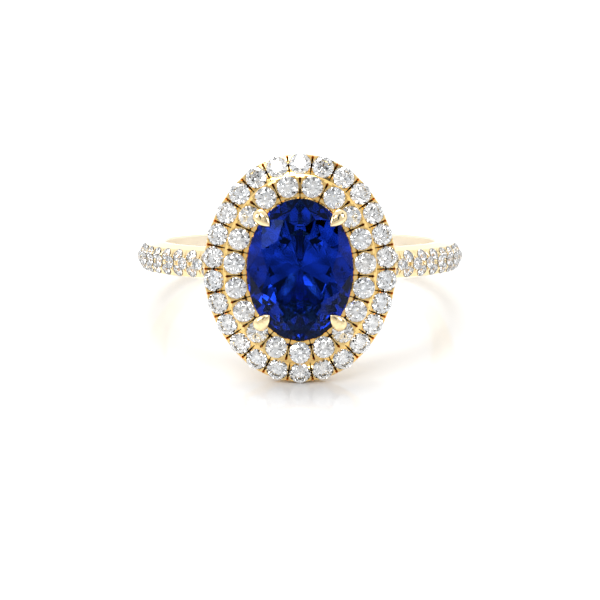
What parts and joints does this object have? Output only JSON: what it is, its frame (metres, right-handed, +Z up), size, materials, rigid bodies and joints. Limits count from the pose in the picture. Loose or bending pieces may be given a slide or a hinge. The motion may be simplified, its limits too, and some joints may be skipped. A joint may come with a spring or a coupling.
{
  "type": "engagement ring",
  "caption": "Finger ring with an oval blue sapphire in four claws, a stepped double halo of small round diamonds and a band with diamond-set shoulders.",
  "frame": {"origin": "middle of the ring's footprint on the table it rests on, Z = 0 at the table", "axes": "+Z up, the head faces -Y, X runs along the width of the head; the finger axis leans from +Z toward +Y by 15.6 degrees because the ring lies on the lower lip of its halo and the back of its band"},
  "size_m": [0.0202, 0.023, 0.0127],
  "materials": {
    "yellow_gold": "polished yellow gold",
    "diamond": "brilliant cut, polished",
    "sapphire_blue": "oval brilliant cut, polished, deep blue"
  },
  "bodies": {
    "root": {"band": "yellow_gold", "band_stones_left_crest": "diamond", "band_stones_left_lower": "diamond", "band_stones_left_upper": "diamond", "band_stones_right_crest": "diamond", "band_stones_right_lower": "diamond", "band_stones_right_upper": "diamond", "claw_1": "yellow_gold", "claw_2": "yellow_gold", "claw_3": "yellow_gold", "claw_4": "yellow_gold", "gallery": "yellow_gold", "inner_halo_plate": "yellow_gold", "inner_halo_stone_01": "diamond", "inner_halo_stone_02": "diamond", "inner_halo_stone_03": "diamond", "inner_halo_stone_04": "diamond", "inner_halo_stone_05": "diamond", "inner_halo_stone_06": "diamond", "inner_halo_stone_07": "diamond", "inner_halo_stone_08": "diamond", "inner_halo_stone_09": "diamond", "inner_halo_stone_10": "diamond", "inner_halo_stone_11": "diamond", "inner_halo_stone_12": "diamond", "inner_halo_stone_13": "diamond", "inner_halo_stone_14": "diamond", "inner_halo_stone_15": "diamond", "inner_halo_stone_16": "diamond", "inner_halo_stone_17": "diamond", "inner_halo_stone_18": "diamond", "inner_halo_stone_19": "diamond", "outer_halo_plate": "yellow_gold", "outer_halo_stone_01": "diamond", "outer_halo_stone_02": "diamond", "outer_halo_stone_03": "diamond", "outer_halo_stone_04": "diamond", "outer_halo_stone_05": "diamond", "outer_halo_stone_06": "diamond", "outer_halo_stone_07": "diamond", "outer_halo_stone_08": "diamond", "outer_halo_stone_09": "diamond", "outer_halo_stone_10": "diamond", "outer_halo_stone_11": "diamond", "outer_halo_stone_12": "diamond", "outer_halo_stone_13": "diamond", "outer_halo_stone_14": "diamond", "outer_halo_stone_15": "diamond", "outer_halo_stone_16": "diamond", "outer_halo_stone_17": "diamond", "outer_halo_stone_18": "diamond", "outer_halo_stone_19": "diamond", "outer_halo_stone_20": "diamond", "outer_halo_stone_21": "diamond", "outer_halo_stone_22": "diamond", "outer_halo_stone_23": "diamond", "outer_halo_stone_24": "diamond", "outer_halo_stone_25": "diamond", "outer_halo_stone_26": "diamond", "sapphire": "sapphire_blue"}
  },
  "joints": []
}
